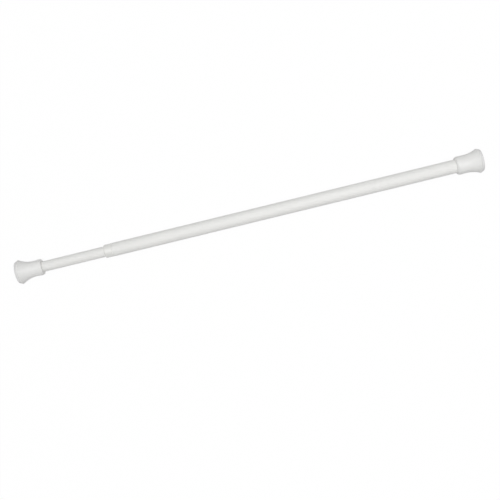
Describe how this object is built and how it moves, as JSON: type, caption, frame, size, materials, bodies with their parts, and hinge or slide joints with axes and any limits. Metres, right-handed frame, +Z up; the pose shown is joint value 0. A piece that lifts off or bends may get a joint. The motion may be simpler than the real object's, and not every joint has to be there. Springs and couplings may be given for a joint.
{
  "type": "spring tension rod",
  "caption": "Telescoping white curtain rod with flared, rubber-padded ends. A sprung inner tube presses it between two walls, and a twist locks its length.",
  "frame": {"origin": "middle of the fixed end's wall pad, on the face that meets the wall", "axes": "+X along the rod, out of the fixed end into its wall; the rod runs from the origin towards -X; +Z up"},
  "size_m": [0.672, 0.0344, 0.0344],
  "materials": {
    "tube_coat": "satin white powder coat on steel tube",
    "collar_plastic": "smooth white moulded plastic",
    "cap_plastic": "satin white moulded plastic",
    "pad_rubber": "soft white rubber",
    "lock_plastic": "natural moulded nylon",
    "rivet_aluminium": "pressed aluminium",
    "cone_brass": "turned brass",
    "plated_steel": "zinc-plated steel",
    "spring_steel": "drawn spring steel"
  },
  "bodies": {
    "outer": {"outer_tube": "tube_coat", "mouth_collar": "collar_plastic", "fixed_end_cap": "cap_plastic", "fixed_end_pad": "pad_rubber"},
    "sleeve": {"expander_sleeve": "lock_plastic"},
    "cone": {"cone_nut": "cone_brass"},
    "spindle": {"lock_spindle": "plated_steel", "front_spring_washer": "plated_steel", "tension_spring": "spring_steel", "stop_washer": "plated_steel", "stop_clip": "spring_steel", "end_clip": "spring_steel"},
    "inner": {"inner_tube": "tube_coat", "guide_plug": "lock_plastic", "plug_rivets": "rivet_aluminium", "rear_spring_washer": "plated_steel", "sliding_end_cap": "cap_plastic", "sliding_end_pad": "pad_rubber"}
  },
  "joints": [
    {"name": "length_adjust", "type": "slide", "parent": "outer", "child": "sleeve", "axis": [-1, 0, 0], "range_m": [-0.045, 0.3]},
    {"name": "twist_lock", "type": "hinge", "parent": "sleeve", "child": "spindle", "pos_m": [-0.1097, 0, 0], "axis": [-1, 0, 0], "range_deg": [0, 270]},
    {"name": "cone_draw", "type": "slide", "parent": "sleeve", "child": "cone", "axis": [-1, 0, 0], "range_m": [0, 0.00113]},
    {"name": "spring_travel", "type": "slide", "parent": "spindle", "child": "inner", "axis": [1, 0, 0], "range_m": [0, 0.03], "stiffness_N_per_m": 3000, "springref_m": -0.006, "deforming": ["tension_spring"]}
  ],
  "couplings": [
    {"joint": "cone_draw", "follows": "twist_lock", "m_per_rad": 0.00023873}
  ]
}
